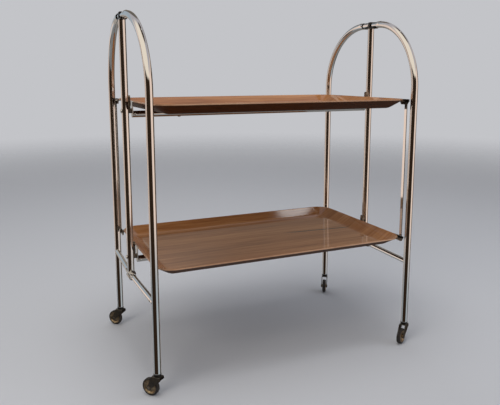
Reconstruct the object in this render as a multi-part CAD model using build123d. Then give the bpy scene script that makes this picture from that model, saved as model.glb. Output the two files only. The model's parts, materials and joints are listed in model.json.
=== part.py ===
from build123d import *
import math
import os

# Folding serving trolley: two shallow trays hang between two end frames of bent tube.
# Each end frame is a post with a front and a rear wing of bent tube hinged to it, so that
# the wings swing in over the trays as these tilt.
# X runs along the trays, Y to the rear and Z up. The origin is on the floor, at the
# middle of the trolley. All sizes are in millimetres.

# The end frames
leg_line_x = 316.0
leg_line_y = 191.0
post_x = 323.5
hinge_y = 18.0
arch_height = 788.0
arch_bend_radius = 160.0
tube_diameter = 16.0
tube_wall = 1.2
leg_foot_height = 51.5
bar_height = 206.0
bar_diameter = 12.0
bar_wall = 1.0
bar_outward_offset = 2.5

# The joints of the wings
knuckle_diameter = 12.0
knuckle_reach = 24.0
knuckle_tail = 14.0
spigot_length = 22.0
hinge_pin_diameter = 5.0
hinge_pin_head_diameter = 9.0
hinge_pin_head_height = 1.8
eye_thickness = 9.0
eye_radius = 6.0
eye_neck = 14.0
bracket_plate = 2.4
bracket_width = 15.0
bracket_web = 6.6
web_rise = 2.2
plug_length = 14.0

# The trays
tray_length = 614.0
tray_width = 380.0
tray_corner_radius = 42.0
tray_floor_corner_radius = 8.0
tray_depth = 19.0
tray_slope_run = 33.0
tray_sheet = 3.0
tray_edge_flat = 1.0
upper_rim_height = 605.0
lower_tray_rise = 64.0
rail_diameter = 15.0
rail_wall = 1.2

# The tilting pivots of the trays
pivot_drop = 22.0
pivot_pin_diameter = 6.0
pivot_head_diameter = 9.4
pivot_head_height = 1.8
strap_sheet = 2.0
strap_width = 14.0
strap_top_gap = 0.6
ear_boss_diameter = 11.0
ear_width = 11.0
ear_sheet = 3.0
ear_rise = 34.0
ear_round = 3.5

# The two rods that keep the trays parallel, and the plates that carry them
link_leg_gap = 9.0
link_pin_drop = 7.0
link_width = 8.0
link_sheet = 2.0
link_pin_diameter = 5.0
link_pin_head_diameter = 8.0
link_pin_head_height = 1.2
link_open_play = 0.4
plate_sheet = 1.8
plate_height = 13.0
plate_top_width = 38.0
plate_bottom_width = 22.0
plate_flange_width = 20.0
plate_flange_drop = 4.2

# The castors
wheel_diameter = 38.0
tyre_width = 9.5
tyre_inner_diameter = 30.0
tyre_shoulder = 2.4
castor_trail = 16.5
fork_width = 17.0
fork_sheet = 1.6
fork_bend = 2.8
fork_crown_length = 19.0
fork_nose_reach = 1.6
fork_nose_drop = 7.0
fork_boss_radius = 5.5
disc_sheet = 1.6
disc_dish = 2.6
disc_rim_depth = 3.2
hub_diameter = 9.0
axle_diameter = 4.0
axle_head_diameter = 7.0
axle_head_height = 1.2
stem_diameter = 8.0
stem_length = 30.0
stem_chamfer = 0.8
ferrule_height = 5.0
ferrule_lip = 0.4
ferrule_round = 0.8
ferrule_depth = 30.0
front_left_trail_angle = 133.0
rear_left_trail_angle = 133.0
front_right_trail_angle = -150.0
rear_right_trail_angle = -124.0

# Fits and gaps
running_fit = 0.05
seat_gap = 0.3
overrun = 5.0

tube_radius = tube_diameter / 2
tube_bore = tube_radius - tube_wall
tray_half_length = tray_length / 2
tray_half_width = tray_width / 2
lower_rim_height = bar_height + lower_tray_rise
wing_x = post_x - leg_line_x
wing_y = leg_line_y - hinge_y
wing_reach = math.hypot(wing_x, wing_y)
knuckle_radius = knuckle_diameter / 2
bracket_half_width = bracket_width / 2
top_plate_height = arch_height - knuckle_radius - seat_gap
eye_half = eye_thickness / 2
wheel_radius = wheel_diameter / 2

# The rods stand clear of the legs where these lean in highest up beside them.
rod_top = upper_rim_height - link_pin_drop + link_width / 2
rise_into_bend = max(0, rod_top - arch_height + arch_bend_radius)
leg_lean = arch_bend_radius - math.sqrt(arch_bend_radius**2 - rise_into_bend**2)
link_line_y = leg_line_y - leg_lean - tube_radius - link_leg_gap - link_width / 2

pieces = {}


def upright(radius, low, high, x=0, y=0):
    """A round bar along Z between two heights."""
    return Pos(x, y, (low + high) / 2) * Cylinder(radius, high - low)


def lengthwise(radius, near, far, y=0, z=0):
    """A round bar along X between two places."""
    return Pos((near + far) / 2, y, z) * Rot(0, 90, 0) * Cylinder(radius, abs(far - near))


def block(x_pair, y_pair, z_pair):
    """A block between two values along each axis."""
    size = [pair[1] - pair[0] for pair in (x_pair, y_pair, z_pair)]
    middle = [(pair[1] + pair[0]) / 2 for pair in (x_pair, y_pair, z_pair)]
    return Pos(*middle) * Box(*size)


def bent_bar(radius, points, bend):
    """A round bar that follows straight runs joined by bends."""
    path = FilletPolyline(*points, radius=bend)
    return sweep(Plane(origin=path @ 0, z_dir=path % 0) * Circle(radius), path=path)


def slot_plate(length, width, sheet):
    """A flat plate with round ends that lies along Y, its underside at zero."""
    return extrude(Rot(0, 0, 90) * SlotOverall(length, width), sheet)


# The wing is made in its own frame: its hinge is at the origin and it reaches along +X.
def leg_run(radius, near, far):
    """A bar along the leg and its arch, kept between two distances from the hinge."""
    inner_end = min(0, wing_reach - arch_bend_radius) - overrun
    points = [
        (wing_reach, 0, leg_foot_height),
        (wing_reach, 0, arch_height),
        (inner_end, 0, arch_height),
    ]
    kept = block((near, far), (-tube_diameter, tube_diameter), (0, arch_height + tube_diameter))
    return bent_bar(radius, points, arch_bend_radius) & kept


def leg_tube():
    far = wing_reach + tube_diameter
    return leg_run(tube_radius, knuckle_reach, far) - leg_run(tube_bore, knuckle_reach, far)


def top_knuckle():
    """A spigot in the tube's end, then a slimmer tongue with a hinge eye."""
    spigot = leg_run(tube_bore, knuckle_reach, knuckle_reach + spigot_length)
    tip_x = knuckle_radius - knuckle_tail
    tongue = lengthwise(knuckle_radius, tip_x, knuckle_reach, z=arch_height)
    tip = Pos(tip_x, 0, arch_height) * Sphere(knuckle_radius)
    pin_hole = upright(
        hinge_pin_diameter / 2 + running_fit,
        arch_height - tube_radius,
        arch_height + tube_radius,
    )
    flat_top = arch_height + eye_half
    eye_flat = block(
        (-knuckle_tail - overrun, knuckle_radius + hinge_pin_head_height),
        (-tube_radius, tube_radius),
        (flat_top, flat_top + overrun),
    )
    return spigot + tongue + tip - pin_hole - eye_flat


def cross_bar(outward):
    """A slim tube with a flattened eye at the hinge, coped to the leg's outer side."""
    neck = knuckle_radius + eye_neck
    low = bar_height - eye_half
    high = bar_height + eye_half
    tube = lengthwise(bar_diameter / 2, eye_neck, wing_reach, z=bar_height)
    tube -= lengthwise(bar_diameter / 2 - bar_wall, neck, wing_reach, z=bar_height)
    tongue = block((0, eye_neck), (-eye_radius, eye_radius), (low, high))
    tongue = fillet(tongue.edges().filter_by(Axis.X), eye_half / 2)
    turn = outward * math.degrees(math.atan2(bar_outward_offset, wing_reach))
    bar = Rot(0, 0, turn) * (tube + tongue + upright(eye_radius, low, high))
    bar -= upright(tube_radius, bar_height - bar_diameter, bar_height + bar_diameter, x=wing_reach)
    hole = hinge_pin_diameter / 2 + running_fit
    return bar - upright(hole, bar_height - bar_diameter, bar_height + bar_diameter)


def ferrule():
    """A cap on the leg's foot with a plug in the tube and a bore for the castor's stem."""
    low = leg_foot_height - ferrule_height
    cap = upright(tube_radius + ferrule_lip, low, leg_foot_height, x=wing_reach)
    cap = fillet(cap.edges().group_by(Axis.Z)[0], ferrule_round)
    plug = upright(tube_bore, leg_foot_height, leg_foot_height + ferrule_depth, x=wing_reach)
    bore_top = low + stem_length + seat_gap
    bore = upright(stem_diameter / 2 + running_fit, low - overrun, bore_top, x=wing_reach)
    return cap + plug - bore


# The post's parts are made for the right-hand end and turned half round for the left.
def post():
    low = bar_height + eye_half + seat_gap + bracket_plate
    high = top_plate_height - bracket_plate
    tube = upright(tube_radius, low, high, x=post_x)
    tube -= upright(tube_bore, low, high, x=post_x)
    for rim in (upper_rim_height, lower_rim_height):
        tube -= lengthwise(
            pivot_pin_diameter / 2 + running_fit,
            post_x - tube_diameter,
            post_x + tube_diameter,
            z=rim - pivot_drop,
        )
    return tube


def top_bracket():
    """A plate on the post's top with a web between the two knuckles and their pins."""
    low = top_plate_height - bracket_plate
    length = 2 * (hinge_y + bracket_half_width)
    plate = Pos(post_x, 0, low) * slot_plate(length, bracket_width, bracket_plate)
    plug = upright(tube_bore, low - plug_length, low, x=post_x)
    web_high = arch_height + knuckle_radius + web_rise
    web = block(
        (post_x - bracket_half_width, post_x + bracket_half_width),
        (-bracket_web / 2, bracket_web / 2),
        (top_plate_height, web_high),
    )
    web = fillet(web.edges().filter_by(Axis.Y).group_by(Axis.Z)[-1], bracket_half_width / 2)
    bracket = plate + plug + web
    head_low = arch_height + eye_half + seat_gap
    for side in (-1, 1):
        bracket += upright(hinge_pin_diameter / 2, low, head_low, x=post_x, y=side * hinge_y)
        bracket += pin_head(head_low, hinge_pin_head_height, side)
    return bracket


def pin_head(low, height, side):
    """A low domed head on a hinge pin."""
    head = upright(hinge_pin_head_diameter / 2, low, low + height, x=post_x, y=side * hinge_y)
    return fillet(head.edges().group_by(Axis.Z)[-1], height / 2)


def bottom_bracket():
    """Two plates with a web between them, which hold the eyes of both cross bars."""
    inner = eye_half + seat_gap
    length = 2 * (hinge_y + bracket_half_width)
    upper_low = bar_height + inner
    lower_low = bar_height - inner - bracket_plate
    bracket = Pos(post_x, 0, upper_low) * slot_plate(length, bracket_width, bracket_plate)
    bracket += Pos(post_x, 0, lower_low) * slot_plate(length, bracket_width, bracket_plate)
    bracket += block(
        (post_x - bracket_half_width, post_x + bracket_half_width),
        (-bracket_web / 2, bracket_web / 2),
        (lower_low + bracket_plate, upper_low),
    )
    plug_low = upper_low + bracket_plate
    bracket += upright(tube_bore, plug_low, plug_low + plug_length, x=post_x)
    for side in (-1, 1):
        bracket += upright(hinge_pin_diameter / 2, lower_low, upper_low, x=post_x, y=side * hinge_y)
        bracket += pin_head(upper_low + bracket_plate, hinge_pin_head_height, side)
    return bracket


def tray_pivot(rim):
    """The pin riveted flush in the strap, which turns in the post and has a domed head outside."""
    height = rim - pivot_drop
    head_low = post_x + tube_radius + seat_gap
    head_high = head_low + pivot_head_height
    pin = lengthwise(pivot_pin_diameter / 2, tray_half_length, head_low, z=height)
    head = lengthwise(pivot_head_diameter / 2, head_low, head_high, z=height)
    return pin + fillet(head.edges().group_by(Axis.X)[-1], pivot_head_height / 2)


def post_ear(rim):
    """A boss that spaces the strap off the post and bears its pin, with a tab up the post."""
    height = rim - pivot_drop
    inner = tray_half_length + strap_sheet + seat_gap
    boss = lengthwise(ear_boss_diameter / 2, inner, post_x, z=height)
    tab = block(
        (post_x - tube_radius - ear_sheet, post_x),
        (-ear_width / 2, ear_width / 2),
        (height, height + ear_rise),
    )
    tab = fillet(tab.edges().filter_by(Axis.X).group_by(Axis.Z)[-1], ear_round)
    low = height - ear_boss_diameter
    high = height + ear_rise + overrun
    ear = boss + tab - upright(tube_radius, low, high, x=post_x)
    return ear - lengthwise(pivot_pin_diameter / 2 + running_fit, inner - overrun, post_x, z=height)


def rounded_face(half_length, half_width, radius, height):
    return Pos(0, 0, height) * RectangleRounded(2 * half_length, 2 * half_width, radius)


def tray(rim):
    """A formed sheet: a flat floor and a sloping rim all round."""
    slope = math.atan2(tray_depth, tray_slope_run)
    drop = tray_sheet / math.cos(slope)
    floor_top = rim - tray_depth
    floor_low = floor_top - tray_sheet
    spread = (drop - tray_sheet) / math.tan(slope)
    floor_x = tray_half_length - tray_slope_run
    floor_y = tray_half_width - tray_slope_run
    under = loft(
        [
            rounded_face(floor_x + spread, floor_y + spread, tray_floor_corner_radius + spread, floor_low),
            rounded_face(tray_half_length, tray_half_width, tray_corner_radius, rim - drop),
        ],
        ruled=True,
    )
    edge = extrude(rounded_face(tray_half_length, tray_half_width, tray_corner_radius, rim - drop), drop)
    mouth = loft(
        [
            rounded_face(floor_x, floor_y, tray_floor_corner_radius, floor_top),
            rounded_face(
                tray_half_length - tray_edge_flat,
                tray_half_width - tray_edge_flat,
                tray_corner_radius - tray_edge_flat,
                rim,
            ),
        ],
        ruled=True,
    )
    return under + edge - mouth


def rail_height(rim):
    return rim - tray_depth - tray_sheet - rail_diameter / 2


def rail(rim):
    height = rail_height(rim)
    tube = lengthwise(rail_diameter / 2, -tray_half_length, tray_half_length, z=height)
    return tube - lengthwise(rail_diameter / 2 - rail_wall, -tray_half_length, tray_half_length, z=height)


def end_strap(rim):
    """The flat strap on the rail's right end, which turns on the pivot pin."""
    low = rail_height(rim) - rail_diameter / 2
    high = rim - strap_top_gap
    inner = tray_half_length
    strap = block((inner, inner + strap_sheet), (-strap_width / 2, strap_width / 2), (low, high))
    strap = fillet(strap.edges().filter_by(Axis.X).group_by(Axis.Z)[0], strap_width / 2 - seat_gap)
    strap = fillet(strap.edges().filter_by(Axis.X).group_by(Axis.Z)[-1], strap_sheet)
    hole = pivot_pin_diameter / 2
    return strap - lengthwise(hole, inner - overrun, inner + tube_diameter, z=rim - pivot_drop)


def corner_plate(rim):
    """The plate near the front right corner that carries a rod, with a flange under the rim."""
    high = rim - strap_top_gap
    low = high - plate_height
    inner = tray_half_length + seat_gap
    half_top = plate_top_width / 2
    half_low = plate_bottom_width / 2
    pin_y = -link_line_y
    middle = pin_y + link_width / 2
    outline = Polyline(
        (middle - half_low, low),
        (middle + half_low, low),
        (middle + half_top, high),
        (middle - half_top, high),
        close=True,
    )
    plate = extrude(Plane.YZ * make_face(outline), plate_sheet)
    plate = Pos(inner, 0, 0) * fillet(plate.edges().filter_by(Axis.X), plate_sheet)
    flange = block(
        (tray_half_length - tray_slope_run, inner),
        (middle - plate_flange_width / 2, middle + plate_flange_width / 2),
        (rim - plate_flange_drop - plate_sheet, rim - plate_flange_drop),
    )
    pin_x = inner + plate_sheet
    pin_height = rim - link_pin_drop
    link_far = pin_x + 2 * seat_gap + link_sheet
    pin = lengthwise(link_pin_diameter / 2, inner, link_far, y=pin_y, z=pin_height)
    head_radius = link_pin_head_diameter / 2
    head = lengthwise(head_radius, link_far, link_far + link_pin_head_height, y=pin_y, z=pin_height)
    head = fillet(head.edges().group_by(Axis.X)[-1], link_pin_head_height / 2)
    return plate + (flange - tray(rim)).solids().sort_by(Axis.X)[-1] + pin + head


def link():
    """The flat rod at the front right, which turns on a pin of each tray."""
    upper = upper_rim_height - link_pin_drop
    lower = lower_rim_height - link_pin_drop
    inner = tray_half_length + 2 * seat_gap + plate_sheet
    span = upper - lower
    rod = extrude(Plane.YZ * Rot(0, 0, 90) * SlotCenterToCenter(span, link_width), link_sheet)
    rod = Pos(inner, -link_line_y, (upper + lower) / 2) * rod
    hole = link_pin_diameter / 2
    rod -= lengthwise(hole + running_fit, inner - overrun, inner + overrun, y=-link_line_y, z=upper)
    open_hole = hole + link_open_play
    return rod - lengthwise(open_hole, inner - overrun, inner + overrun, y=-link_line_y, z=lower)


# A castor is made with its swivel axis on Z and its wheel towards +X.
def castor_fork():
    """A bent strip: a crown with a stem on it and a tapered cheek on each side of the wheel."""
    crown = leg_foot_height - ferrule_height - seat_gap
    half_crown = fork_crown_length / 2
    nose_x = -half_crown - fork_nose_reach
    edge = Polyline(
        (castor_trail + fork_boss_radius, wheel_radius),
        (half_crown, crown),
        (-half_crown, crown),
        (nose_x, crown - fork_nose_drop),
        (castor_trail - fork_boss_radius, wheel_radius),
    )
    boss = ThreePointArc(
        (castor_trail - fork_boss_radius, wheel_radius),
        (castor_trail, wheel_radius - fork_boss_radius),
        (castor_trail + fork_boss_radius, wheel_radius),
    )
    half_width = fork_width / 2
    body = Pos(0, half_width, 0) * extrude(Plane.XZ * make_face([edge, boss]), fork_width)
    body = fillet(body.edges().filter_by(Axis.X).group_by(Axis.Z)[-1], fork_bend)
    slot = half_width - fork_sheet
    far = castor_trail + fork_boss_radius + overrun
    room = block((nose_x - overrun, far), (-slot, slot), (0, crown - fork_sheet))
    room = fillet(room.edges().filter_by(Axis.X).group_by(Axis.Z)[-1], fork_bend - fork_sheet)
    axle_hole = Cylinder(axle_diameter / 2, fork_width + overrun)
    axle_hole = Pos(castor_trail, 0, wheel_radius) * Rot(90, 0, 0) * axle_hole
    stem = upright(stem_diameter / 2, crown - fork_sheet, leg_foot_height - ferrule_height + stem_length)
    stem = chamfer(stem.edges().group_by(Axis.Z)[-1], stem_chamfer)
    return body - room - axle_hole + stem


def castor_axle():
    half = fork_width / 2
    head = axle_head_height
    axle = Cylinder(axle_diameter / 2, 2 * (half + head))
    for side in (-1, 1):
        cap = Pos(0, 0, side * (half + head / 2)) * Cylinder(axle_head_diameter / 2, head)
        end = Axis.Z if side > 0 else -Axis.Z
        axle += fillet(cap.edges().group_by(end)[-1], head / 2)
    return Pos(castor_trail, 0, wheel_radius) * Rot(90, 0, 0) * axle


def castor_tyre():
    half = tyre_width / 2
    inner = tyre_inner_diameter / 2
    section = Pos((wheel_radius + inner) / 2, 0) * Rectangle(wheel_radius - inner, tyre_width)
    section = fillet(section.vertices().group_by(Axis.X)[-1], tyre_shoulder)
    ring = revolve(Plane.XZ * section, Axis.Z)
    return Pos(castor_trail, 0, wheel_radius) * Rot(90, 0, 0) * ring


def castor_disc():
    """A dished disc on each side of a hub, with a rim that holds the tyre."""
    outer = tyre_inner_diameter / 2
    half = tyre_width / 2
    hub = hub_diameter / 2
    hub_half = fork_width / 2 - fork_sheet - seat_gap
    bore = axle_diameter / 2 + running_fit
    dish = half - disc_dish
    outline = Polyline(
        (bore, 0),
        (bore, hub_half),
        (hub, hub_half),
        (hub, dish),
        (outer - disc_rim_depth, dish),
        (outer - disc_sheet, half),
        (outer, half),
        (outer, 0),
        close=True,
    )
    quarter = revolve(Plane.XZ * make_face(outline), Axis.Z)
    wheel = quarter + mirror(quarter, about=Plane.XY)
    return Pos(castor_trail, 0, wheel_radius) * Rot(90, 0, 0) * wheel


def add(name, piece):
    pieces[name] = piece


def add_end_frame_posts():
    turn = {"right": Rot(0, 0, 0), "left": Rot(0, 0, 180)}
    for side, place in turn.items():
        add(f"{side}_post", place * post())
        add(f"{side}_top_bracket", place * top_bracket())
        add(f"{side}_bottom_bracket", place * bottom_bracket())
        for level, rim in (("upper", upper_rim_height), ("lower", lower_rim_height)):
            add(f"{side}_{level}_post_ear", place * post_ear(rim))


def add_trays():
    half_turn = Rot(0, 0, 180)
    for level, rim in (("upper", upper_rim_height), ("lower", lower_rim_height)):
        add(f"{level}_tray", tray(rim))
        add(f"{level}_rail", rail(rim))
        add(f"{level}_right_strap", end_strap(rim))
        add(f"{level}_left_strap", half_turn * end_strap(rim))
        add(f"{level}_right_pivot_pin", tray_pivot(rim))
        add(f"{level}_left_pivot_pin", half_turn * tray_pivot(rim))
        add(f"{level}_front_right_plate", corner_plate(rim))
        add(f"{level}_rear_left_plate", half_turn * corner_plate(rim))
    add("front_right_link", link())
    add("rear_left_link", half_turn * link())


def add_wings():
    wing_parts = {
        "leg_tube": leg_tube(),
        "top_knuckle": top_knuckle(),
        "ferrule": ferrule(),
    }
    castor_parts = {
        "castor_fork": castor_fork(),
        "castor_axle": castor_axle(),
        "castor_tyre": castor_tyre(),
        "castor_disc": castor_disc(),
    }
    trail_angles = {
        "front_left": front_left_trail_angle,
        "rear_left": rear_left_trail_angle,
        "front_right": front_right_trail_angle,
        "rear_right": rear_right_trail_angle,
    }
    for end, end_sign in (("right", 1), ("left", -1)):
        for side, side_sign in (("rear", 1), ("front", -1)):
            angle = math.degrees(math.atan2(side_sign * wing_y, -end_sign * wing_x))
            wing_place = Pos(end_sign * post_x, side_sign * hinge_y, 0) * Rot(0, 0, angle)
            trail_angle = trail_angles[f"{side}_{end}"]
            castor_place = Pos(end_sign * leg_line_x, side_sign * leg_line_y, 0) * Rot(0, 0, trail_angle)
            for part, piece in wing_parts.items():
                add(f"{side}_{end}_{part}", wing_place * piece)
            add(f"{side}_{end}_cross_bar", wing_place * cross_bar(-end_sign * side_sign))
            for part, piece in castor_parts.items():
                add(f"{side}_{end}_{part}", castor_place * piece)


add_end_frame_posts()
add_trays()
add_wings()

os.makedirs("parts", exist_ok=True)
for name, piece in pieces.items():
    export_step(piece, f"parts/{name}.step")
print(len(pieces), "pieces written")
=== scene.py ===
import json
import math
import bpy
from mathutils import Matrix, Vector


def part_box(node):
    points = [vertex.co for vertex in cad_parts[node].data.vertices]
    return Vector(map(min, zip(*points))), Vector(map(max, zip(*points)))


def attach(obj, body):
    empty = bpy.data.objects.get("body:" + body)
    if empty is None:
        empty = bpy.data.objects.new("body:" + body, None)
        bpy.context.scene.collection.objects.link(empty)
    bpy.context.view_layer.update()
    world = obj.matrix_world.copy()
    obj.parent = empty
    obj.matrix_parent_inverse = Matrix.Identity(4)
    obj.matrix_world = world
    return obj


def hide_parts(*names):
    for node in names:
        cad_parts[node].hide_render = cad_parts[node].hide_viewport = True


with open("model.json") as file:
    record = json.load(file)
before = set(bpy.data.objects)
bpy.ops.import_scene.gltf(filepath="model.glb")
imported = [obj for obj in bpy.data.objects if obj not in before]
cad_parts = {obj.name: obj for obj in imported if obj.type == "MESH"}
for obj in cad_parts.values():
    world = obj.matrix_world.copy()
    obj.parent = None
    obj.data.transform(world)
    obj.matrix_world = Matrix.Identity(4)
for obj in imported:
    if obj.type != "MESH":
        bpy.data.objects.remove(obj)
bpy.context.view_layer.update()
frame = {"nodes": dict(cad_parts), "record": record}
nodes = frame["nodes"]
nodeSlots = {row["node"]: row["material_slot"] for row in frame["record"]["subparts"]}
print("frame loaded with", len(nodes), "nodes")


# small helpers

def linearColour(hexCode):  # sRGB hex to linear RGBA
    shares = [int(hexCode[start:start + 2], 16) / 255 for start in (1, 3, 5)]
    linear = [share / 12.92 if share <= 0.04045 else ((share + 0.055) / 1.055) ** 2.4 for share in shares]
    return (*linear, 1.0)


def addNode(tree, kind, settings=None, values=None, links=None):
    node = tree.nodes.new(kind)
    for key, value in (settings or {}).items():
        setattr(node, key, value)
    for socket, value in (values or {}).items():
        node.inputs[socket].default_value = value
    for socket, source in (links or {}).items():
        tree.links.new(source, node.inputs[socket])
    return node


def newMaterial(name, hexCode, values):
    material = bpy.data.materials.new(name)
    material.use_nodes = True
    tree = material.node_tree
    shader = tree.nodes["Principled BSDF"]
    shader.inputs["Base Color"].default_value = linearColour(hexCode)
    for socket, value in values.items():
        shader.inputs[socket].default_value = value
    material.diffuse_color = linearColour(hexCode)
    return material, tree, shader


def startPiece():  # operators act on all that is selected
    bpy.ops.object.select_all(action="DESELECT")


def selectOnly(piece):
    startPiece()
    piece.select_set(True)
    bpy.context.view_layer.objects.active = piece


def applyPlace():  # puts the selected piece's place, turn and size into its mesh
    bpy.ops.object.transform_apply(location=True, rotation=True, scale=True)


def selectFaces(piece, test):  # leaves the piece in edit mode with these faces selected
    bpy.ops.object.mode_set(mode="EDIT")
    bpy.ops.mesh.select_mode(type="FACE")
    bpy.ops.mesh.select_all(action="DESELECT")
    bpy.ops.object.mode_set(mode="OBJECT")
    for face in piece.data.polygons:
        face.select = test(face)
    bpy.ops.object.mode_set(mode="EDIT")


def applyModifier(piece, kind, settings):
    modifier = piece.modifiers.new(kind.title(), kind)
    for key, value in settings.items():
        setattr(modifier, key, value)
    bpy.ops.object.modifier_apply(modifier=modifier.name)


def roundEdges(piece, width, steps, angle=30):  # edges that bend by more than the angle
    applyModifier(piece, "BEVEL", {"width": width, "segments": steps, "limit_method": "ANGLE",
                                   "angle_limit": math.radians(angle)})


def finishPiece(piece, body, slotName, replaced=(), smoothAngle=35):
    bpy.ops.object.shade_smooth_by_angle(angle=math.radians(smoothAngle))
    if not piece.data.materials:
        piece.data.materials.append(finishes[slotName])
    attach(piece, body)
    if replaced:
        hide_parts(*replaced)


# camera at the photograph's angle

cameraView = {
    "place": (-0.58699, -1.28093, 0.66047),
    "yaw": 0.415,                 # radians, as are the next two
    "pitch": 0.166,
    "roll": -0.001,
    "focalPixels": 575.12,
    "middlePixel": (249.58, 171.67),
    "imageSize": (500, 405),
    "sensor": 36.0,               # millimetres
}


def makeCamera(view):
    data = bpy.data.cameras.new("photoCamera")
    camera = bpy.data.objects.new("photoCamera", data)
    bpy.context.scene.collection.objects.link(camera)
    width, height = view["imageSize"]
    middleX, middleY = view["middlePixel"]
    data.sensor_fit = "HORIZONTAL"
    data.sensor_width = view["sensor"]
    data.lens = view["focalPixels"] * view["sensor"] / width
    data.shift_x = (width / 2 - middleX) / width
    data.shift_y = (middleY - height / 2) / width
    yaw, pitch = view["yaw"], view["pitch"]
    ahead = Vector((math.sin(yaw) * math.cos(pitch), math.cos(yaw) * math.cos(pitch), -math.sin(pitch)))
    turn = ahead.to_track_quat("-Z", "Y") @ Matrix.Rotation(view["roll"], 3, "Z").to_quaternion()
    camera.rotation_mode = "QUATERNION"
    camera.rotation_quaternion = turn
    camera.location = view["place"]
    bpy.context.scene.camera = camera


makeCamera(cameraView)
print("camera made")


# plain studio: a pale floor, soft lamps, and a pale room of screens and flags that only polished faces show

studio = {
    "floorSize": 30.0,
    "floorColour": "#CDD0D6",
    "floorRoughness": 0.9,
    "floorFade": (1.9, 5.5),      # metres from the middle over which the floor fades into the room
    "floorShineReach": 0.05,      # metres of floor that polished faces show
    "roomColour": "#C3C4C8",
    "roomLight": 0.52,            # what the object gets from the room
    # the rest of the room is seen in polished faces only, from warm daylight all round
    "shineColour": "#FFE6D6",
    "shineLevel": 1.3,
    # parts of the room that fade in over a range of a direction's height, from -1 to 1
    "lowFade": (-0.22, -0.36),
    "lowColour": "#B4BCC2",
    "upperFade": (0.32, 0.52),
    "upperColour": "#B9B6BC",
    "underFade": (-0.50, -0.60),
    "underColour": "#868686",
    # upright screens: direction of the middle in degrees from +X, half the width in degrees, colour
    "screens": ((66, 44, "#A39C94"), (46, 25, "#7C756D")),
    # dark upright flags: direction of the middle, half the width
    "flags": ((-134, 58), (5, 18), (141, 5)),
    "flagColour": "#30241A",
    "flagFade": (0.36, 0.24),
    "edgeSoftness": 5,            # degrees that a screen's or a flag's side takes to fade, each way
    # round boards: direction of the middle, cosines over which they fade in, colour
    "boards": (
        ((-0.60, -0.45, 0.66), (0.40, 0.66), "#FFF3E2"),
        ((-0.27, 0.92, 0.27), (0.935, 0.975), "#A6B2BC"),
        ((0.15, 0.79, 0.585), (0.93, 0.965), "#6B655E"),
        ((0.38, 0.10, 0.92), (0.935, 0.965), "#4A4038"),
    ),
    # a small bright opening, which makes the bright patch on the lower tray's rear rim
    "opening": ((0.4470, 0.2315, 0.8641), (0.99957, 0.99972)),
    "openingColour": "#FFFFFF",
    "openingLevel": 5.0,
    "lamps": (
        # name, place, size, watts, colour
        ("topLamp", (-0.2, -0.2, 2.6), 1.2, 22, "#FFFDFA"),
        ("windowLamp", (-1.9, -1.5, 2.2), 1.3, 24, "#FFF6EA"),
        ("fillLamp", (2.3, -1.2, 1.7), 1.6, 10, "#F2F5FF"),
        ("backLamp", (0.2, 2.2, 2.4), 1.8, 8, "#FFFFFF"),
    ),
    "lampAim": (0, 0, 0.4),
}
smoothly = {"interpolation_type": "SMOOTHSTEP"}


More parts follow.
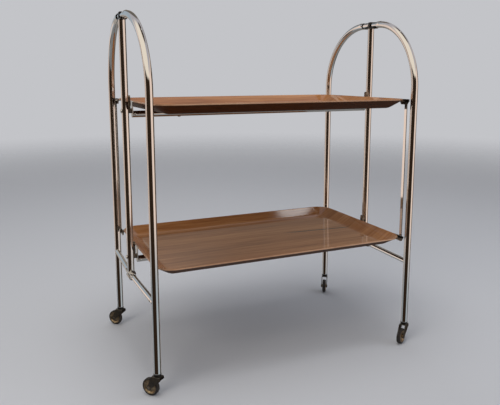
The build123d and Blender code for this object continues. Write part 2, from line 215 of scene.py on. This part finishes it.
def makeRoom(values):  # the world
    world = bpy.data.worlds.new("paleRoom")
    bpy.context.scene.world = world
    world.use_nodes = True
    tree = world.node_tree
    tree.nodes.clear()
    path = addNode(tree, "ShaderNodeLightPath")
    place = addNode(tree, "ShaderNodeTexCoord")
    towards = place.outputs["Generated"]
    height = addNode(tree, "ShaderNodeSeparateXYZ", links={0: towards})
    level = addNode(tree, "ShaderNodeVectorMath", {"operation": "MULTIPLY"}, {1: (1, 1, 0)}, {0: towards})
    level = addNode(tree, "ShaderNodeVectorMath", {"operation": "NORMALIZE"}, links={0: level.outputs[0]})

    def byHeight(fade):  # zero at the start of a range of heights, one at its end
        start, end = fade
        return addNode(tree, "ShaderNodeMapRange", smoothly, {"From Min": start, "From Max": end},
                       {"Value": height.outputs["Z"]})

    def sector(middle, half):  # one inside a range of level directions, zero outside
        aim = (math.cos(math.radians(middle)), math.sin(math.radians(middle)), 0)
        along = addNode(tree, "ShaderNodeVectorMath", {"operation": "DOT_PRODUCT"}, {1: aim},
                        {0: level.outputs[0]})
        outer = math.cos(math.radians(half + values["edgeSoftness"]))
        inner = math.cos(math.radians(half - values["edgeSoftness"]))
        return addNode(tree, "ShaderNodeMapRange", smoothly, {"From Min": outer, "From Max": inner},
                       {"Value": along.outputs["Value"]})

    def roundSpot(aim, edge):  # one round about a direction, zero away from it
        along = addNode(tree, "ShaderNodeVectorMath", {"operation": "DOT_PRODUCT"},
                        {1: Vector(aim).normalized()}, {0: towards})
        outer, inner = edge
        return addNode(tree, "ShaderNodeMapRange", smoothly, {"From Min": outer, "From Max": inner},
                       {"Value": along.outputs["Value"]})

    flags = [sector(middle, half) for middle, half in values["flags"]]
    dark = flags[0]
    for flag in flags[1:]:
        dark = addNode(tree, "ShaderNodeMath", {"operation": "MAXIMUM"},
                       links={0: dark.outputs[0], 1: flag.outputs[0]})
    dark = addNode(tree, "ShaderNodeMath", {"operation": "MULTIPLY"},
                   links={0: dark.outputs[0], 1: byHeight(values["flagFade"]).outputs[0]})
    opening = roundSpot(*values["opening"])

    layers = [(byHeight(values["lowFade"]), values["lowColour"])]
    layers += [(sector(middle, half), hexCode) for middle, half, hexCode in values["screens"]]
    layers += [(byHeight(values["upperFade"]), values["upperColour"])]
    layers += [(roundSpot(aim, edge), hexCode) for aim, edge, hexCode in values["boards"]]
    layers += [(opening, values["openingColour"]), (dark, values["flagColour"])]
    layers += [(byHeight(values["underFade"]), values["underColour"])]
    base = addNode(tree, "ShaderNodeRGB")
    base.outputs[0].default_value = linearColour(values["shineColour"])
    shine = base.outputs[0]
    for share, hexCode in layers:  # each is laid over those before it
        layer = addNode(tree, "ShaderNodeMix", {"data_type": "RGBA"}, {7: linearColour(hexCode)},
                        {0: share.outputs[0], 6: shine})
        shine = layer.outputs[2]

    strength = addNode(tree, "ShaderNodeMapRange",
                       values={"To Min": values["shineLevel"], "To Max": values["openingLevel"]},
                       links={"Value": opening.outputs[0]})
    polished = addNode(tree, "ShaderNodeBackground", links={"Color": shine, "Strength": strength.outputs[0]})
    roomColour = linearColour(values["roomColour"])
    plain = addNode(tree, "ShaderNodeBackground", values={"Color": roomColour, "Strength": 1.0})
    given = addNode(tree, "ShaderNodeBackground",
                    values={"Color": roomColour, "Strength": values["roomLight"]})
    notSeen = addNode(tree, "ShaderNodeMixShader",
                      links={0: path.outputs["Is Glossy Ray"], 1: given.outputs[0], 2: polished.outputs[0]})
    seen = addNode(tree, "ShaderNodeMath", {"operation": "MAXIMUM"},
                   links={0: path.outputs["Is Camera Ray"], 1: path.outputs["Is Transmission Ray"]})
    shown = addNode(tree, "ShaderNodeMixShader",
                    links={0: seen.outputs[0], 1: notSeen.outputs[0], 2: plain.outputs[0]})
    addNode(tree, "ShaderNodeOutputWorld", links={"Surface": shown.outputs[0]})


def makeFloor(values):  # matt pale paint that far away fades into the room
    startPiece()
    bpy.ops.mesh.primitive_plane_add(size=values["floorSize"], location=(0, 0, 0))
    floor = bpy.context.object
    floor.name = "studioFloor"
    paint, tree, shader = newMaterial("studioFloorPaint", values["floorColour"],
                                      {"Roughness": values["floorRoughness"]})
    path = addNode(tree, "ShaderNodeLightPath")
    beyond = addNode(tree, "ShaderNodeMath", {"operation": "GREATER_THAN"}, {1: values["floorShineReach"]},
                     {0: path.outputs["Ray Length"]})
    unshown = addNode(tree, "ShaderNodeMath", {"operation": "MULTIPLY"},
                      links={0: beyond.outputs[0], 1: path.outputs["Is Glossy Ray"]})
    place = addNode(tree, "ShaderNodeTexCoord")
    away = addNode(tree, "ShaderNodeVectorMath", {"operation": "LENGTH"}, links={0: place.outputs["Object"]})
    near, far = values["floorFade"]
    fade = addNode(tree, "ShaderNodeMapRange", smoothly, {"From Min": near, "From Max": far},
                   {"Value": away.outputs["Value"]})
    hidden = addNode(tree, "ShaderNodeMath", {"operation": "MAXIMUM"},
                     links={0: unshown.outputs[0], 1: fade.outputs[0]})
    clear = addNode(tree, "ShaderNodeBsdfTransparent")
    mix = addNode(tree, "ShaderNodeMixShader",
                  links={0: hidden.outputs[0], 1: shader.outputs[0], 2: clear.outputs[0]})
    tree.links.new(mix.outputs[0], tree.nodes["Material Output"].inputs["Surface"])
    floor.data.materials.append(paint)


def makeLamps(values):
    for name, place, size, watts, hexCode in values["lamps"]:
        data = bpy.data.lights.new(name, "AREA")
        data.energy = watts
        data.size = size
        data.color = linearColour(hexCode)[:3]
        lamp = bpy.data.objects.new(name, data)
        bpy.context.scene.collection.objects.link(lamp)
        lamp.location = place
        lamp.visible_glossy = False  # polished faces show the room and not the lamps
        aim = Vector(values["lampAim"]) - Vector(place)
        lamp.rotation_euler = aim.to_track_quat("-Z", "Y").to_euler()


bpy.context.scene.view_settings.view_transform = "Standard"
makeRoom(studio)
makeFloor(studio)
makeLamps(studio)
print("studio made")


# materials: each pattern is noise on the piece's own place, with its sizes in metres

def patches(tree, size, detail):  # round patches of this size
    place = addNode(tree, "ShaderNodeTexCoord")
    noise = addNode(tree, "ShaderNodeTexNoise", values={"Scale": 1 / size, "Detail": detail},
                    links={"Vector": place.outputs["Object"]})
    return noise.outputs[0]


def streaks(tree, place, size, detail, roughness=0.5):  # streaks of this length, width and depth
    scale = tuple(1 / side for side in size)
    mapping = addNode(tree, "ShaderNodeMapping", values={"Scale": scale}, links={"Vector": place})
    noise = addNode(tree, "ShaderNodeTexNoise",
                    values={"Scale": 1.0, "Detail": detail, "Roughness": roughness},
                    links={"Vector": mapping.outputs[0]})
    return noise.outputs[0]


def colourBy(tree, pattern, stops):  # a ramp with these places and colours
    ramp = addNode(tree, "ShaderNodeValToRGB", links={"Fac": pattern})
    elements = ramp.color_ramp.elements
    while len(elements) < len(stops):
        elements.new(0.5)
    for element, (place, hexCode) in zip(elements, stops):
        element.position = place
        element.color = linearColour(hexCode)
    return ramp.outputs["Color"]


def roughenBy(tree, shader, pattern, fromRange, toRange):
    level = addNode(tree, "ShaderNodeMapRange",
                    values={"From Min": fromRange[0], "From Max": fromRange[1],
                            "To Min": toRange[0], "To Max": toRange[1]},
                    links={"Value": pattern})
    tree.links.new(level.outputs[0], shader.inputs["Roughness"])


# Bright chromium plate on drawn steel tube: a clean mirror with a faint haze in patches.
def chromedSteelTube():
    material, tree, shader = newMaterial("chromePlatedSteel", "#C6C5C3", {"Metallic": 1.0, "Roughness": 0.09})
    haze = patches(tree, size=0.060, detail=3.0)
    roughenBy(tree, shader, haze, fromRange=(0.35, 0.70), toRange=(0.05, 0.11))
    return material


laminateGrain = {
    # size of the waves in the figure, and how far they move it
    "waveSize": 0.180,
    "waveDetail": 2.0,
    "waveReach": 0.018,
    # length, width and depth of the broad bands and of the fine streaks, which are finer on the real
    # sheet and drawn this coarse so that they show
    "bandSize": (0.500, 0.045, 0.3),
    "bandDetail": 1.5,
    "streakSize": (0.140, 0.006, 0.2),
    "streakDetail": 5.0,
    "streakRoughness": 0.62,
    "streakShare": 1.3,           # how much the streaks count against the bands
    "levels": (0.75, 1.55),       # sums of the two over which the colours run
}

# a thin dark line drawn across the lower tray's floor
lowerFloorDarkLine = {
    "colour": "#24160A",
    "start": (0.080, 0.0255),     # where it fades in
    "end": (0.292, 0.0055),       # where it has faded out
    "fade": 0.040,
    "halfWidth": 0.0065,
    "below": 0.40,                # height under which it shows, between the two trays
    "strength": 1.0,
}


def darkLineAcross(tree, place, colour, values):
    (startX, startY), (endX, endY) = values["start"], values["end"]
    along = Vector((endX - startX, endY - startY, 0)).normalized()
    across = Vector((-along.y, along.x, 0))
    line = across.x * startX + across.y * startY
    offset = addNode(tree, "ShaderNodeVectorMath", {"operation": "DOT_PRODUCT"}, {1: across}, {0: place})
    offset = addNode(tree, "ShaderNodeMath", {"operation": "SUBTRACT"}, {1: line},
                     {0: offset.outputs["Value"]})
    offset = addNode(tree, "ShaderNodeMath", {"operation": "ABSOLUTE"}, links={0: offset.outputs[0]})
    share = addNode(tree, "ShaderNodeMapRange",
                    values={"From Min": values["halfWidth"], "From Max": 0, "To Max": values["strength"]},
                    links={"Value": offset.outputs[0]})
    spot = addNode(tree, "ShaderNodeSeparateXYZ", links={"Vector": place})
    fades = (("X", startX, startX + values["fade"]), ("X", endX, endX - values["fade"]),
             ("Z", values["below"], values["below"] - values["fade"]))
    for axis, edge, full in fades:
        inside = addNode(tree, "ShaderNodeMapRange", values={"From Min": edge, "From Max": full},
                         links={"Value": spot.outputs[axis]})
        share = addNode(tree, "ShaderNodeMath", {"operation": "MULTIPLY"},
                        links={0: share.outputs[0], 1: inside.outputs[0]})
    lined = addNode(tree, "ShaderNodeMix", {"data_type": "RGBA"}, {7: linearColour(values["colour"])},
                     {0: share.outputs[0], 6: colour})
    return lined.outputs[2]


# Teak-grain melamine laminate, pressed glossy: fine brown streaks along the length under a clear hard face.
def teakLaminate(name, stops, roughness):
    values = laminateGrain
    material, tree, shader = newMaterial(name, stops[1][1], {"Roughness": roughness, "IOR": 1.5,
                                                             "Specular IOR Level": 0.5})
    place = addNode(tree, "ShaderNodeTexCoord").outputs["Object"]
    wave = addNode(tree, "ShaderNodeTexNoise",
                   values={"Scale": 1 / values["waveSize"], "Detail": values["waveDetail"]},
                   links={"Vector": place})
    bend = addNode(tree, "ShaderNodeVectorMath", {"operation": "SCALE"}, {"Scale": values["waveReach"]},
                   {0: wave.outputs["Color"]})
    moved = addNode(tree, "ShaderNodeVectorMath", {"operation": "ADD"}, links={0: place, 1: bend.outputs[0]})
    broad = streaks(tree, moved.outputs[0], values["bandSize"], values["bandDetail"])
    fine = streaks(tree, moved.outputs[0], values["streakSize"], values["streakDetail"],
                   values["streakRoughness"])
    both = addNode(tree, "ShaderNodeMath", {"operation": "MULTIPLY_ADD"}, {1: values["streakShare"]},
                   {0: fine, 2: broad})
    start, end = values["levels"]
    level = addNode(tree, "ShaderNodeMapRange", values={"From Min": start, "From Max": end},
                    links={"Value": both.outputs[0]})
    colour = darkLineAcross(tree, place, colourBy(tree, level.outputs[0], stops), lowerFloorDarkLine)
    tree.links.new(colour, shader.inputs["Base Color"])
    return material


# Underside of the sheet, teak-coloured on the real tray: drawn a dull dark red brown, which is painted shade
# from under the trays, with faint fibres along the length.
def paintedShadeBacking():
    material, tree, shader = newMaterial("laminateBackingPaintedShade", "#46240F", {"Roughness": 0.5, "IOR": 1.5,
                                                                      "Specular IOR Level": 0.06})
    place = addNode(tree, "ShaderNodeTexCoord").outputs["Object"]
    fibres = streaks(tree, place, size=(0.030, 0.003, 0.030), detail=3.0)
    colour = colourBy(tree, fibres, stops=((0.3, "#3B1D0C"), (0.7, "#512B14")))
    tree.links.new(colour, shader.inputs["Base Color"])
    return material


# Stoved black enamel: dark, half-glossy, slightly uneven where it has run.
def blackEnamel():
    material, tree, shader = newMaterial("blackStoveEnamel", "#151310", {"Roughness": 0.32, "IOR": 1.5,
                                                                        "Specular IOR Level": 0.3})
    runs = patches(tree, size=0.004, detail=2.0)
    roughenBy(tree, shader, runs, fromRange=(0.0, 1.0), toRange=(0.24, 0.42))
    return material


def mottledFinish(name, hexCode, values, size, detail, stops):
    material, tree, shader = newMaterial(name, hexCode, values)
    tree.links.new(colourBy(tree, patches(tree, size, detail), stops), shader.inputs["Base Color"])
    return material


# Black enamel of the castor forks, rubbed through to brown: half-glossy, uneven.
def wornEnamel():
    return mottledFinish("wornBlackEnamel", "#2E281F", {"Roughness": 0.36, "IOR": 1.5},
                         size=0.006, detail=4.0,
                         stops=((0.35, "#1E1A15"), (0.55, "#2E281F"), (0.75, "#463C2D")))


# Blackened mild steel strip: dark grey-brown metal, dull, with rubbed lighter patches.
def blackenedSteel():
    return mottledFinish("blackenedSteel", "#6C645A", {"Metallic": 1.0, "Roughness": 0.3},
                         size=0.007, detail=4.0,
                         stops=((0.35, "#453F38"), (0.60, "#6C645A"), (0.75, "#998F82")))


# Bronzed pressed steel: warm brown metal that has dulled with use.
def bronzedSteel():
    return mottledFinish("bronzedPressedSteel", "#85765F", {"Metallic": 1.0, "Roughness": 0.34},
                         size=0.005, detail=4.0,
                         stops=((0.30, "#655848"), (0.55, "#85765F"), (0.80, "#AC9D84")))


# Black rubber, moulded: matt, dusty grey where it rolls.
def tyreRubber():
    return mottledFinish("mouldedRubber", "#1B1917", {"Roughness": 0.72, "IOR": 1.52},
                         size=0.006, detail=4.0,
                         stops=((0.35, "#151312"), (0.70, "#2B2724")))


# the cut edge of the sheet has the same grain, paler and duller
faceColours = ((0.0, "#774828"), (0.45, "#9A653B"), (1.0, "#B78254"))
lipColours = ((0.0, "#A0714F"), (0.5, "#BC9070"), (1.0, "#D0A888"))
finishes = {
    "chromed_tube": chromedSteelTube(),
    "teak_laminate": teakLaminate("teakMelamineLaminate", faceColours, roughness=0.06),
    "black_enamel": blackEnamel(),
    "blackened_steel": blackenedSteel(),
    "bronzed_steel": bronzedSteel(),
    "rubber_tyre": tyreRubber(),
}
edgeLip = teakLaminate("teakEdgeLip", lipColours, roughness=0.25)
# the trays' underside, darkened with painted shade
shadedBacking = paintedShadeBacking()

# nodes whose names end like this look different from the rest of their slot
otherLooks = {"castor_fork": wornEnamel(), "bottom_bracket": finishes["chromed_tube"]}

for nodeName, slotName in nodeSlots.items():
    looks = [look for ending, look in otherLooks.items() if nodeName.endswith(ending)]
    nodes[nodeName].data.materials.clear()
    nodes[nodeName].data.materials.append(looks[0] if looks else finishes[slotName])
print("materials made")


# trays: a pressed sheet with a soft crease round its floor

trayBoard = {
    "cornerRadius": 0.042,
    "cornerSteps": 12,
    "sheet": 0.003,
    # run inwards and drop at each crease, from the rim to the floor; a short ring on each side of the
    # long slope keeps its shading flat
    "profile": (
        (0.0012, 0.0),
        (0.0014, 0.0004),
        (0.0006, 0.00035),
        (0.0250, 0.0144),
        (0.0006, 0.00035),
        (0.0030, 0.0015),
        (0.0026, 0.0010),
        (0.0024, 0.0006),
        (0.0022, 0.0003),
        (0.0018, 0.0001),
    ),
    "edgeRound": 0.0005,
    "edgeSteps": 2,
    "edgeAngle": 50,
}


def makeTray(level):
    values = trayBoard
    low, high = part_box(level + "_tray")
    startPiece()
    bpy.ops.mesh.primitive_plane_add(size=1, location=((low.x + high.x) / 2, (low.y + high.y) / 2, high.z))
    tray = bpy.context.object
    tray.name = level + "TrayBoard"
    tray.scale = (high.x - low.x, high.y - low.y, 1)
    applyPlace()
    bpy.ops.object.mode_set(mode="EDIT")
    bpy.ops.mesh.select_all(action="SELECT")
    bpy.ops.mesh.bevel(offset=values["cornerRadius"], segments=values["cornerSteps"], affect="VERTICES")
    bpy.ops.mesh.select_mode(type="FACE")
    bpy.ops.mesh.select_all(action="SELECT")
    for run, drop in values["profile"]:
        bpy.ops.mesh.inset(thickness=run, depth=-drop)
    bpy.ops.object.mode_set(mode="OBJECT")
    for finish in (finishes["teak_laminate"], shadedBacking, edgeLip):  # face, back and rim of the sheet
        tray.data.materials.append(finish)
    applyModifier(tray, "SOLIDIFY", {"thickness": values["sheet"], "offset": -1, "use_even_offset": True,
                                     "material_offset": 1, "material_offset_rim": 2})
    roundEdges(tray, values["edgeRound"], values["edgeSteps"], values["edgeAngle"])
    finishPiece(tray, level + "_tray_body", "teak_laminate", replaced=(level + "_tray",))


for level in ("upper", "lower"):
    makeTray(level)
print("trays made")


# legs: one tube each that bends over into its arch

legTube = {
    "radius": 0.008,
    "wall": 0.00115,
    "bendRadius": 0.160,
    "bendSteps": 48,
    "around": 48,
    "line": (0.316, 0.191),       # the leg's centre line, from the middle of the trolley
    "hinge": (0.3235, 0.018),     # the wing's hinge
    "endFromHinge": 0.024,
    "endCollar": 0.002,           # a short ring by each end keeps the long faces level
    "mergeWithin": 0.00001,
    "edgeRound": 0.0003,
    "edgeSteps": 2,
    "edgeAngle": 50,
}


def cornerSigns(corner):
    return (1 if "right" in corner else -1), (1 if "rear" in corner else -1)


def extrudeBy(move):
    bpy.ops.mesh.extrude_region_move(TRANSFORM_OT_translate={"value": move})


def makeLegTube(corner, body):
    values = legTube
    low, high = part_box(corner + "_leg_tube")
    signX, signY = cornerSigns(corner)
    legX, legY = signX * values["line"][0], signY * values["line"][1]
    inward = Vector((signX * values["hinge"][0] - legX, signY * values["hinge"][1] - legY, 0))
    reach = inward.length
    inward.normalize()
    bend, collar = values["bendRadius"], values["endCollar"]
    bendLow = high.z - values["radius"] - bend
    startPiece()
    bpy.ops.mesh.primitive_circle_add(vertices=values["around"], radius=values["radius"],
                                      location=(legX, legY, low.z))
    leg = bpy.context.object
    leg.name = corner + "LegTube"
    applyPlace()
    bpy.ops.object.mode_set(mode="EDIT")
    bpy.ops.mesh.select_mode(type="VERT")
    bpy.ops.mesh.select_all(action="SELECT")
    extrudeBy((0, 0, collar))
    extrudeBy((0, 0, bendLow - low.z - collar))
    centre = Vector((legX, legY, bendLow)) + inward * bend
    bpy.ops.mesh.spin(steps=values["bendSteps"], angle=math.radians(-90), center=centre,
                      axis=Vector((0, 0, 1)).cross(inward))
    extrudeBy(inward * (reach - bend - values["endFromHinge"] - collar))
    extrudeBy(inward * collar)
    bpy.ops.mesh.select_all(action="SELECT")
    bpy.ops.mesh.remove_doubles(threshold=values["mergeWithin"])
    bpy.ops.mesh.normals_make_consistent(inside=False)
    bpy.ops.object.mode_set(mode="OBJECT")
    # an open tube may come out inside out, so its lowest face is looked at before it gets its wall
    foot = min(leg.data.polygons, key=lambda face: face.center.z)
    if foot.normal.dot(foot.center - Vector((legX, legY, foot.center.z))) < 0:
        bpy.ops.object.mode_set(mode="EDIT")
        bpy.ops.mesh.select_all(action="SELECT")
        bpy.ops.mesh.flip_normals()
        bpy.ops.object.mode_set(mode="OBJECT")
    applyModifier(leg, "SOLIDIFY", {"thickness": values["wall"], "offset": -1})
    roundEdges(leg, values["edgeRound"], values["edgeSteps"], values["edgeAngle"])
    finishPiece(leg, body, "chromed_tube", replaced=(corner + "_leg_tube",))


wingBodies = {"front_left": "front_left_wing", "front_right": "front_right_wing",
              "rear_left": "end_posts", "rear_right": "end_posts"}
for corner, body in wingBodies.items():
    makeLegTube(corner, body)
print("legs made")


# castor wheels: a dished disc pressed from sheet, with a rolled rim and a hub

castorWheel = {
    "trail": 0.0165,
    "trailAngles": {"front_left": 133, "rear_left": 133, "front_right": -150, "rear_right": -124},
    "wheelRadius": 0.019,
    "discRadius": 0.01497,
    "discHalf": 0.0047,
    "discAround": 64,
    # run inwards and rise of each ring of the disc's face, from its rim to its hub
    "face": (
        (0.0005, 0.00035),
        (0.0006, 0.0),
        (0.0006, -0.0008),
        (0.0022, -0.0019),
        (0.0012, -0.0004),
        (0.0012, 0.0002),
        (0.0018, 0.0010),
        (0.0012, 0.0004),
    ),
    "hubRadius": 0.0045,
    "hubHalf": 0.0067,
    "hubAround": 32,
    "hubRound": 0.0005,
    "hubRoundSteps": 3,
}
endFacing = 0.9                   # an end face's normal is at least this much along its axis


def makeDrum(around, radius, half):  # lies across the castor's axle
    startPiece()
    bpy.ops.mesh.primitive_cylinder_add(vertices=around, radius=radius, depth=2 * half,
                                        rotation=(math.radians(90), 0, 0),
                                        location=(castorWheel["trail"], 0, castorWheel["wheelRadius"]))
    applyPlace()
    return bpy.context.object


def makeCastorDisc():
    values = castorWheel
    disc = makeDrum(values["discAround"], values["discRadius"], values["discHalf"])
    selectFaces(disc, lambda face: abs(face.normal.y) > endFacing)
    for run, rise in values["face"]:
        bpy.ops.mesh.inset(thickness=run, depth=rise, use_individual=True)
    bpy.ops.object.mode_set(mode="OBJECT")
    hub = makeDrum(values["hubAround"], values["hubRadius"], values["hubHalf"])
    roundEdges(hub, values["hubRound"], values["hubRoundSteps"])
    disc.select_set(True)
    bpy.context.view_layer.objects.active = disc
    bpy.ops.object.join()
    return disc


def putCopy(master, name, place, turn):  # a copy with its own mesh, its place in the mesh
    copy = master.copy()
    copy.data = master.data.copy()
    copy.name = name
    bpy.context.scene.collection.objects.link(copy)
    selectOnly(copy)
    copy.location = place
    copy.rotation_euler = turn
    applyPlace()
    return copy


master = makeCastorDisc()
for corner, angle in castorWheel["trailAngles"].items():
    signX, signY = cornerSigns(corner)
    place = (signX * legTube["line"][0], signY * legTube["line"][1], 0)
    disc = putCopy(master, corner + "CastorDisc", place, (0, 0, math.radians(angle)))
    finishPiece(disc, corner + "_wheel_body", "bronzed_steel", replaced=(corner + "_castor_disc",))
selectOnly(master)
bpy.ops.object.delete()
print("castor wheels made")


# pin caps, rivets, screws and latches

fasteners = {
    "around": 24,
    # radius and height of each kind of head
    "heads": {"BottomCap": (0.0047, 0.0020), "BarRivet": (0.0024, 0.0014),
              "RailRivet": (0.0026, 0.0016), "RailScrew": (0.0038, 0.0020)},
    # the rings of a head's dome: run inwards as a share of its radius, rise as a share of its height
    "dome": ((0.10, 0.22), (0.16, 0.16), (0.22, 0.12), (0.24, 0.06)),
    "domeSmoothAngle": 50,
    # degrees that turn an upright head to the side that it points to
    "turns": {"up": (0, 0, 0), "down": (180, 0, 0), "left": (0, -90, 0), "right": (0, 90, 0),
              "front": (90, 0, 0)},
    # places from the middle of the trolley, the same at each corner or at each end
    "capPlace": (0.3235, 0.018, 0.2132),
    "barRivetPlace": (0.3248, 0.177, 0.2060),
    "railRivetPlace": (0.3020, -0.0070),
    "railScrewAlong": 0.2000,
    "railScrewSink": 0.0004,      # how far a screw's head sits in the round of the rail
    "latchSize": (0.0016, 0.0050, 0.0075),
    "latchPlace": (0.3102, 0.1785),
    "latchDrop": 0.0055,          # from the tray's rim down
    "latchTilt": 45,
    "latchRound": 0.0004,
    "latchRoundSteps": 3,
}


def makeHead(kind, name, place, side, body):
    values = fasteners
    radius, height = values["heads"][kind]
    skirt = height * (1 - sum(rise for run, rise in values["dome"]))
    startPiece()
    bpy.ops.mesh.primitive_cylinder_add(vertices=values["around"], radius=radius, depth=skirt,
                                        location=(0, 0, skirt / 2))
    head = bpy.context.object
    applyPlace()
    selectFaces(head, lambda face: face.normal.z > endFacing)
    for run, rise in values["dome"]:
        bpy.ops.mesh.inset(thickness=radius * run, depth=height * rise)
    bpy.ops.object.mode_set(mode="OBJECT")
    head.name = name
    head.location = place
    head.rotation_euler = [math.radians(turn) for turn in values["turns"][side]]
    applyPlace()
    finishPiece(head, body, "chromed_tube", smoothAngle=values["domeSmoothAngle"])


def makeLatch(level, signX, signY):
    values = fasteners
    placeX, placeY = values["latchPlace"]
    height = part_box(level + "_tray")[1].z - values["latchDrop"]
    startPiece()
    bpy.ops.mesh.primitive_cube_add(size=1, location=(signX * placeX, signY * placeY, height),
                                    rotation=(math.radians(signX * values["latchTilt"]), 0, 0))
    latch = bpy.context.object
    latch.scale = values["latchSize"]
    latch.name = level + ("Right" if signX > 0 else "Left") + "Latch"
    applyPlace()
    roundEdges(latch, values["latchRound"], values["latchRoundSteps"])
    finishPiece(latch, level + "_tray_body", "chromed_tube")


for corner, body in wingBodies.items():
    signX, signY = cornerSigns(corner)
    ending = corner.title().replace("_", "")
    capX, capY, capHeight = fasteners["capPlace"]
    makeHead("BottomCap", "BottomCap" + ending, (signX * capX, signY * capY, capHeight), "up", "end_posts")
    barX, barY, barHeight = fasteners["barRivetPlace"]
    side = "right" if signX > 0 else "left"
    makeHead("BarRivet", "BarRivet" + ending, (signX * barX, signY * barY, barHeight), side, body)

for level in ("upper", "lower"):
    low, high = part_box(level + "_rail")
    start = level.title()
    for ending, sign in (("Left", -1), ("Right", 1)):
        rivetX, rivetY = fasteners["railRivetPlace"]
        rivetPlace = (sign * rivetX, rivetY, (low.z + high.z) / 2)
        makeHead("RailRivet", start + "RailRivet" + ending, rivetPlace, "front", level + "_tray_body")
        screwPlace = (sign * fasteners["railScrewAlong"], 0, low.z + fasteners["railScrewSink"])
        makeHead("RailScrew", start + "RailScrew" + ending, screwPlace, "down", level + "_tray_body")

makeLatch("upper", 1, -1)
makeLatch("lower", -1, 1)
print("fasteners made")
